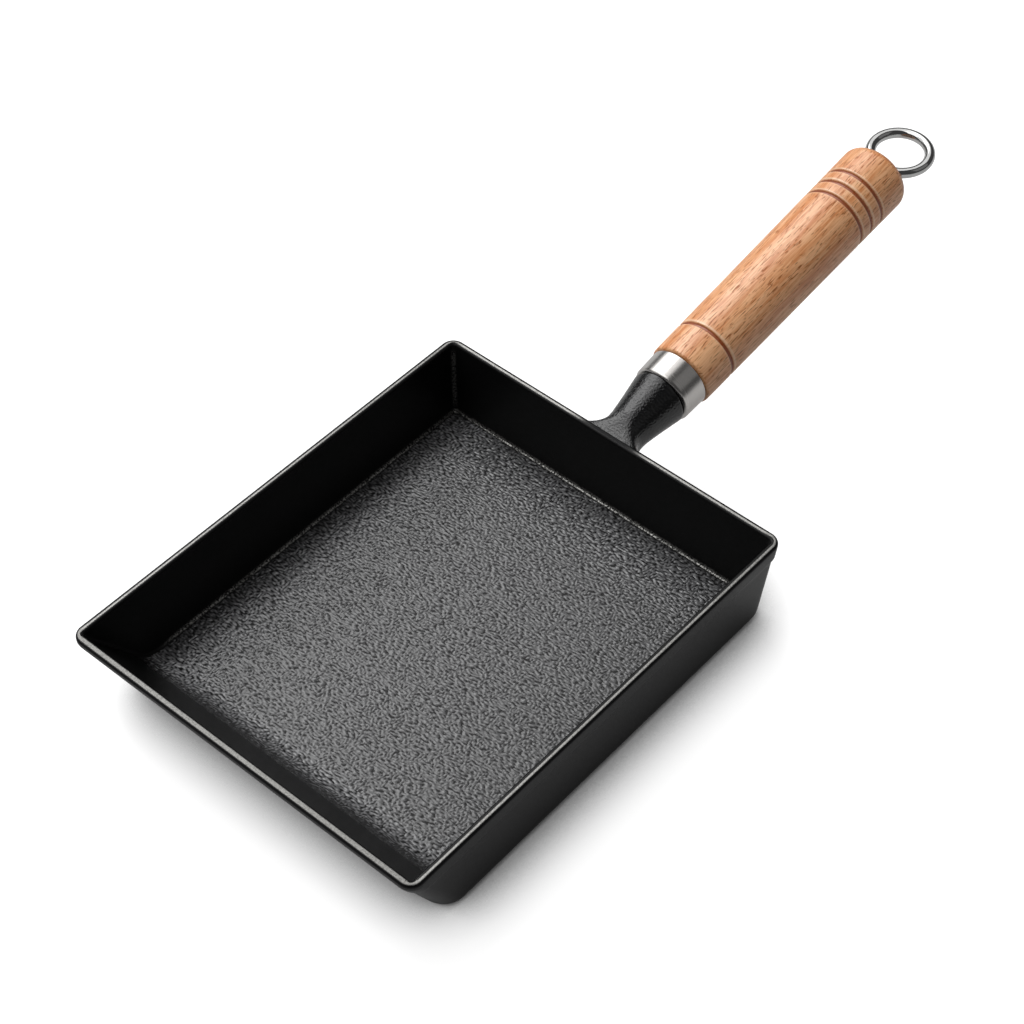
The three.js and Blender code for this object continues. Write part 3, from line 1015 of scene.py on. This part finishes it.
@dataclass
class Neck:
    """The neck of the casting, from the rim's back to the ferrule."""

    axis: HandleFrame
    root: float = -0.754
    length: float = 27.6
    waist_radius: float = 8.0
    end_radius: float = 11.3
    spigot_radius: float = 10.0
    spigot_length: float = 4.4
    fillet: float = 8.0
    burial: float = 1.5
    below_rim: float = 6.3
    flare_power: float = 1.2
    root_power: float = 0.4
    end_rounding: float = 1.2
    columns: int = 200
    seam: float = 0.01
    sand: float = 0.9
    sand_spread: float = 0.35
    sand_depth: float = 0.028
    bare_end: float = 3.0
    seed: int = 21

    def sections(self, station: np.ndarray, flare: np.ndarray) -> np.ndarray:
        """Sections across the neck: squarish and level with the rim at the wall, then round.

        A section's sides are powers of cosine and sine. From the root to past the waist the
        power grows to 1, the top rises from the rim to the full radius, and the section turns
        from upright to square on the handle's axis.

        Args:
            station: places along the axis.
            flare: how much wider the section is than the bare neck, for the root's fillet.

        Returns:
            Rings of points on the handle's axis.
        """
        waist = self.root + self.fillet
        blend = smooth(self.root, waist + self.fillet / 2, station)[:, None]
        along = np.maximum(0.0, (station - waist) / (self.length - waist))
        flaring = (self.end_radius - self.waist_radius) * along**self.flare_power
        radius = (self.waist_radius + flaring)[:, None]
        above = self.below_rim + (radius - self.below_rim) * blend
        power = self.root_power + (1 - self.root_power) * blend
        tilt = np.radians(self.axis.pitch) * (1 - blend)
        angle = circle(self.columns)
        across = np.sign(np.cos(angle)) * np.abs(np.cos(angle)) ** power
        up = np.sign(np.sin(angle)) * np.abs(np.sin(angle)) ** power
        wide = radius + flare[:, None]
        height = np.where(up > 0, above, wide) * up
        place = station[:, None] + height * np.sin(tilt)
        return np.stack([-wide * across, place, height * np.cos(tilt)], axis=-1)

    def build(self) -> Object:
        """Builds the neck: a buried root, a fillet, a flaring cone, a rounded end and a spigot.

        Its skin is pushed in and out by a random field of one wavelength, the grain of the
        moulding sand, which is drawn coarser than it is to show.

        Returns:
            The neck's object.
        """
        turn = quarter(40)
        fillet = self.sections(
            self.root + self.fillet * (1 - np.cos(turn)), self.fillet * (1 - np.sin(turn)))
        cone_end = self.length - self.end_rounding
        stations = np.linspace(self.root + self.fillet, cone_end, 60)[1:]
        cone = self.sections(stations, np.zeros(len(stations)))
        buried = fillet[:1] - np.array([0.0, self.burial, 0.0])
        end = quarter(8)[1:]
        rounded = self.sections(
            cone_end + self.end_rounding * np.sin(end), -self.end_rounding * (1 - np.cos(end)))
        rings = np.concatenate([buried, fillet, cone, rounded])
        steps = (self.length / len(rings), 2 * np.pi * self.waist_radius / self.columns)
        relief = band_noise(rings.shape[:2], steps, self.sand, self.sand_spread, self.seed)
        fade = smooth(self.length, self.length - self.bare_end, rings[:, :, 1])
        rings = rings + ring_normals(rings) * (self.sand_depth * relief * fade)[:, :, None]
        spigot = self.axis.turned(np.array([
            [self.spigot_radius, self.length - self.seam],
            [self.spigot_radius, self.length + self.spigot_length],
        ]), self.columns)
        rings = np.concatenate([self.axis.place(rings), np.roll(spigot, self.columns // 4, axis=1)])
        return Shell.of_rings(rings).piece("pan_neck", crease=SHARP_ANGLE)


@dataclass
class Ferrule:
    """The spun steel collar between the neck and the wood."""

    axis: HandleFrame
    front: float = 27.9
    length: float = 10.9
    front_radius: float = 11.8
    rear_radius: float = 12.1
    wall: float = 0.8
    lip: float = 1.5
    bore: float = 10.3
    edge: float = 0.3
    columns: int = 144

    def build(self) -> Object:
        """Builds the ferrule: a flared collar with its front edge rolled in, closed all round.

        Returns:
            The ferrule's object.
        """
        rear, bend_at = self.front + self.length, self.front + self.lip
        slope = (self.rear_radius - self.front_radius) / self.length
        centre = self.front_radius + slope * self.lip - self.lip
        barrel = np.linspace(bend_at, rear - self.edge, 12)[1:-1]
        profile = np.concatenate([
            [[self.bore, self.front]],
            bend(centre, bend_at, self.lip, -90.0, 0.0, 14),
            np.stack([self.front_radius + slope * (barrel - self.front), barrel], axis=-1),
            bend(self.rear_radius - self.edge, rear - self.edge, self.edge, 0.0, 90.0, 6),
            [[self.rear_radius - self.wall, rear]],
            bend(centre, bend_at, self.lip - self.wall, 0.0, -90.0, 6),
            [[self.bore, self.front + self.wall]],
        ])
        shell = Shell.of_rings(self.axis.turned(profile, self.columns), loop=True)
        return shell.piece("ferrule", crease=SHARP_ANGLE)


@dataclass
class Grip:
    """The turned beech grip."""

    axis: HandleFrame
    front: float = 39.1
    length: float = 122.1
    front_radius: float = 12.8
    rear_radius: float = 14.0
    front_rounding: float = 1.2
    rear_rounding: float = 4.5
    grooves: tuple[float, ...] = (14.8, 92.6, 98.9, 105.2)
    groove_width: float = 1.3
    groove_depth: float = 0.9
    groove_lip: float = 0.5
    scorch_edge: Pair = (0.25, 0.8)
    lip_edge: Pair = (0.4, 0.1)
    lip_fade: float = 0.5
    front_lip: float = 0.5
    rear_scorch: float = 0.7
    rear_scorch_power: int = 4
    spigot_front: float = 32.3
    spigot_radius: float = 10.9
    bore: float = 3.6
    pocket_radius: float = 7.4
    pocket_depth: float = 9.0
    pocket_edge: float = 0.5
    columns: int = 144

    def radius(self, station: np.ndarray) -> np.ndarray:
        """The grip's radius along its length: a straight taper from front to rear."""
        share = (station - self.front) / self.length
        return self.front_radius + (self.rear_radius - self.front_radius) * share

    def build(self) -> Object:
        """Builds the grip: a tapered bar with rounded ends, four grooves, a bore and a pocket.

        A groove's sides are soft steps, so that it has no sharp floor, and its scorching follows its
        depth. Its lips carry a painted highlight, strongest on the rear one, and the rear end is scorched
        at the middle of its rounding.

        Returns:
            The grip's object.
        """
        rear = self.front + self.length
        front_edge = self.front + self.front_rounding
        rear_edge = rear - self.rear_rounding
        plain = np.linspace(front_edge, rear_edge, 120)[1:-1]
        middles = self.front + np.array(self.grooves)
        span = self.groove_width / 2 + self.groove_lip
        near = (middles[:, None] + np.linspace(-span, span, 25)).ravel()
        station = np.sort(np.concatenate([plain, near]))
        away = np.abs(station[:, None] - middles).min(axis=1)
        hollow = smooth(-span, -self.groove_lip / 2, -away)
        outside = np.stack([self.radius(station) - self.groove_depth * hollow, station], axis=-1)
        front_centre = self.radius(np.array(front_edge)) - self.front_rounding
        rear_centre = self.radius(np.array(rear_edge)) - self.rear_rounding
        front_arc = bend(front_centre, front_edge, self.front_rounding, -90.0, 0.0, 10)
        rear_arc = bend(rear_centre, rear_edge, self.rear_rounding, 0.0, 90.0, 18)
        pocket_arc = bend(self.pocket_radius + self.pocket_edge, rear - self.pocket_edge,
                          self.pocket_edge, 90.0, 180.0, 5)
        spigot = [[self.bore, self.spigot_front], [self.spigot_radius, self.spigot_front],
                  [self.spigot_radius, self.front]]
        profile = np.concatenate([
            spigot, front_arc, outside, rear_arc, pocket_arc,
            [[self.pocket_radius, rear - self.pocket_depth], [self.bore, rear - self.pocket_depth]],
        ])
        scorch, lip = np.zeros((2, len(profile)))
        start = len(spigot) + len(front_arc)
        end = start + len(station)
        nearest = middles[np.abs(station[:, None] - middles).argmin(axis=1)]
        scorch[start:end] = smooth(*self.scorch_edge, hollow)
        # The lip mark is a painted highlight, full on the rear lip and half on the front one.
        lip[start:end] = smooth(span + self.lip_fade, span, away) * smooth(*self.lip_edge, hollow)
        lip[start:end] *= np.where(station > nearest, 1.0, self.front_lip)
        round_share = np.sin(2 * quarter(len(rear_arc) - 1)) ** self.rear_scorch_power
        scorch[end:end + len(rear_arc)] = self.rear_scorch * round_share
        marks = {"scorch": scorch, "lip": lip}
        shell = Shell.of_rings(self.axis.turned(profile, self.columns), marks, loop=True)
        return shell.piece("handle_grip", crease=SHARP_ANGLE)


@dataclass
class Hanger:
    """The ring that swings in the eye at the handle's end."""

    ring_radius: float = 11.3
    wire_radius: float = 2.05
    ring_y: float = 267.3607
    ring_z: float = 57.8119
    ring_pitch: float = 3.9
    ring_steps: int = 160
    wire_steps: int = 40

    def ring(self) -> Object:
        """Builds the ring: a circle of wire carried round a circle, tilted about X.

        Returns:
            The ring's object.
        """
        round_angle, wire_angle = circle(self.ring_steps)[:, None], circle(self.wire_steps)[None, :]
        reach = self.ring_radius + self.wire_radius * np.cos(wire_angle)
        flat = np.stack([
            reach * np.cos(round_angle), reach * np.sin(round_angle),
            np.broadcast_to(self.wire_radius * np.sin(wire_angle), (self.ring_steps, self.wire_steps)),
        ], axis=-1)
        tilt = np.array(Matrix.Rotation(math.radians(self.ring_pitch), 3, "X"))
        rings = flat[:, ::-1] @ tilt.T + np.array([0.0, self.ring_y, self.ring_z])
        return Shell.of_rings(rings, loop=True).piece("hanging_ring")


@dataclass
class CarriedNode:
    """A solid of the part that stays as it is and only gets a finish."""

    name: str
    finish: Material

    def dress(self) -> None:
        """Puts the finish into the node's material slot."""
        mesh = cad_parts[self.name].data
        mesh.materials.clear()
        mesh.materials.append(self.finish)
        log.info("%s: carried over, %s", self.name, self.finish.name)


@dataclass(frozen=True)
class Softbox:
    """A large soft light: its power in watts, and its sides and place in metres."""

    name: str
    power: float
    width: float
    length: float
    place: tuple[float, float, float]

    def hang(self) -> None:
        """Hangs the light, aimed at the origin, with its length towards Y, hidden from the camera."""
        lamp = bpy.data.lights.new(self.name, "AREA")
        lamp.energy = self.power
        lamp.shape = "RECTANGLE"
        lamp.size, lamp.size_y = self.width, self.length
        box = bpy.data.objects.new(self.name, lamp)
        box.visible_camera = False
        away = np.array(self.place) / np.linalg.norm(self.place)
        side = np.cross([0.0, 1.0, 0.0], away)
        side /= np.linalg.norm(side)
        box.matrix_world = placed([side, np.cross(away, side), away], np.array(self.place))
        bpy.context.scene.collection.objects.link(box)


@dataclass
class Studio:
    """A white floor, soft light from the upper left, a dim room and the camera."""

    azimuth: float = 39.285
    elevation: float = 47.8707
    roll: float = 1.7005
    focal_pixels: float = 2420.78
    target: tuple[float, float, float] = (-2.1956, 42.2436, 37.7)
    distance: float = 824.5253
    clip: Pair = (0.01, 100.0)
    floor_half: float = 6000.0
    floor_colour: str = "#b0b0b0"
    floor_glow: float = 0.82
    glossy_glow: float = 0.305
    shadow_reach: float = 0.025
    shadow_range: Pair = (0.33, 0.95)
    shadow_lean: float = 0.4
    ambient: float = 0.1
    room: float = 0.08
    horizon: float = 0.45
    horizon_rise: float = 0.12
    softboxes: tuple[Softbox, ...] = (
        Softbox("softbox", 186.0, 5.7, 8.0, (-2.27, 0.1, 3.58)),
        Softbox("softbox_core", 78.0, 2.7, 2.6, (-2.5, 0.88, 3.25)),
        Softbox("softbox_top", 24.0, 2.4, 3.6, (-1.05, -1.26, 3.86)),
        Softbox("softbox_fill", 2.3, 2.0, 2.0, (1.86, 1.11, 2.07)),
    )

    def camera(self) -> None:
        """Places the camera by turn, height and roll about its target, and makes it the scene's."""
        a, e, r = (math.radians(angle) for angle in (self.azimuth, self.elevation, self.roll))
        back = np.array([math.sin(a) * math.cos(e), -math.cos(a) * math.cos(e), math.sin(e)])
        level = np.array([math.cos(a), math.sin(a), 0.0])
        upright = np.cross(back, level)
        right = math.cos(r) * level + math.sin(r) * upright
        up = np.cross(back, right)
        spot = (np.array(self.target) + self.distance * back) * MM
        lens = bpy.data.cameras.new("camera")
        lens.sensor_width = SENSOR_WIDTH
        lens.lens = self.focal_pixels * SENSOR_WIDTH / PHOTO_SIDE
        lens.clip_start, lens.clip_end = self.clip
        camera = bpy.data.objects.new("camera", lens)
        camera.matrix_world = placed([right, up, back], spot)
        bpy.context.scene.collection.objects.link(camera)
        bpy.context.scene.camera = camera

    def floor(self) -> None:
        """Lays the floor: a level sheet that takes the shadow and glows white to the eye.

        The glow shows to camera, gloss and glass only, so it lights nothing. It fades beside the object,
        by ambient occlusion that leans to the front, which paints a soft contact shadow where the pan
        stands.
        """
        half = self.floor_half
        points = np.array([[-half, -half, 0.0], [half, -half, 0.0], [half, half, 0.0], [-half, half, 0.0]])
        sheet = Shell(points, [np.array([[0, 1, 2, 3]])]).piece("studio_floor")
        material = bpy.data.materials.new("matt_white_floor")
        material.use_nodes = True
        tree = material.node_tree
        tree.nodes.remove(tree.nodes["Principled BSDF"])
        path = add_node(tree, "LightPath").outputs
        gloss = add_node(tree, "Math", {
            "Value": path["Is Glossy Ray"], "Value_001": self.glossy_glow}, operation="MULTIPLY")
        seen = add_node(tree, "Math", {
            "Value": path["Is Camera Ray"], "Value_001": gloss}, operation="MAXIMUM")
        shown = add_node(tree, "Math", {
            "Value": seen, "Value_001": path["Is Transmission Ray"]}, operation="MAXIMUM")
        lean = add_node(tree, "CombineXYZ", {"Y": -self.shadow_lean, "Z": 1.0})
        near = add_node(tree, "AmbientOcclusion", {
            "Distance": self.shadow_reach, "Normal": lean}, samples=8)
        # Painted contact shadow: the glow dims where ambient occlusion finds the object close.
        lit = add_node(tree, "MapRange", {
            "Value": near.outputs["AO"], "From Min": self.shadow_range[0],
            "From Max": self.shadow_range[1], "To Max": self.floor_glow}, interpolation_type="SMOOTHSTEP")
        glow = add_node(tree, "Math", {"Value": shown, "Value_001": lit}, operation="MULTIPLY")
        matt = add_node(tree, "BsdfDiffuse", {"Color": linear(self.floor_colour)})
        light = add_node(tree, "Emission", {"Strength": glow})
        both = add_node(tree, "AddShader", {"Shader": matt, "Shader_001": light})
        set_inputs(tree, tree.nodes["Material Output"], {"Surface": both})
        sheet.data.materials.append(material)

    def lights(self) -> None:
        """Hangs the softboxes and sets the world: white to the camera, dim as light and in gloss."""
        for box in self.softboxes:
            box.hang()
        world = bpy.data.worlds.new("studio")
        world.use_nodes = True
        bpy.context.scene.world = world
        tree = world.node_tree
        path = add_node(tree, "LightPath").outputs
        shown = add_node(tree, "Math", {
            "Value": path["Is Camera Ray"], "Value_001": path["Is Transmission Ray"]}, operation="MAXIMUM")
        height = add_node(tree, "SeparateXYZ", {
            "Vector": add_node(tree, "TexCoord").outputs["Generated"]}).outputs["Z"]
        mirrored = add_node(tree, "MapRange", {
            "Value": height, "From Max": self.horizon_rise, "To Min": self.horizon, "To Max": self.room})
        dim = add_node(tree, "MapRange", {
            "Value": path["Is Glossy Ray"], "To Min": self.ambient, "To Max": mirrored})
        strength = add_node(tree, "MapRange", {"Value": shown, "To Min": dim, "To Max": 1.0})
        set_inputs(tree, tree.nodes["Background"], {"Color": linear("#ffffff"), "Strength": strength})


def main() -> None:
    """Builds the pan piece by piece, then the studio."""
    logging.basicConfig(level=logging.INFO, format="%(name)s %(message)s")
    iron = SeasonedIron("seasoned_cast_iron").material()
    oiled = SeasonedIron(
        "oiled_cast_iron", sand_size=0.8, skin_depth=0.22, coat_roughness=0.17, gloss=0.45).material()
    wrinkled = WrinkledIron("wrinkled_cast_iron").material()
    satin = TurnedSteel("spun_stainless_steel").material()
    plain = TurnedSteel(
        "plain_turned_steel", steel="#a5a4a1", shadow="#858481", roughness=0.32).material()
    polished = TurnedSteel(
        "polished_steel_wire", steel="#b9b9b8", shadow="#b0b0af", roughness=0.08).material()
    beech = OiledBeech("oiled_beech").material()
    casting, axis = PanCasting(), HandleFrame()
    for piece in (
        Piece(casting.build(), iron, Body.PAN, Slot.CAST_IRON, ("pan_body",)),
        *(Piece(skin, wrinkled, Body.PAN, Slot.CAST_IRON, ("pan_body",))
          for skin in PanFloor(casting.inside).skins()),
        Piece(Neck(axis).build(), oiled, Body.PAN, Slot.CAST_IRON, ("pan_body",)),
        Piece(Ferrule(axis).build(), satin, Body.PAN, Slot.SATIN_STEEL, ("ferrule",)),
        Piece(Grip(axis).build(), beech, Body.PAN, Slot.BEECH, ("handle_grip",)),
        Piece(Hanger().ring(), polished, Body.RING, Slot.POLISHED_STEEL, ("hanging_ring",)),
    ):
        piece.dress()
    for name in ("tie_rod", "rod_washer", "eye_nut"):
        CarriedNode(name, plain).dress()
    studio = Studio()
    studio.camera()
    studio.floor()
    studio.lights()
    bpy.context.scene.view_settings.view_transform = "Standard"


if __name__ == "__main__":
    main()
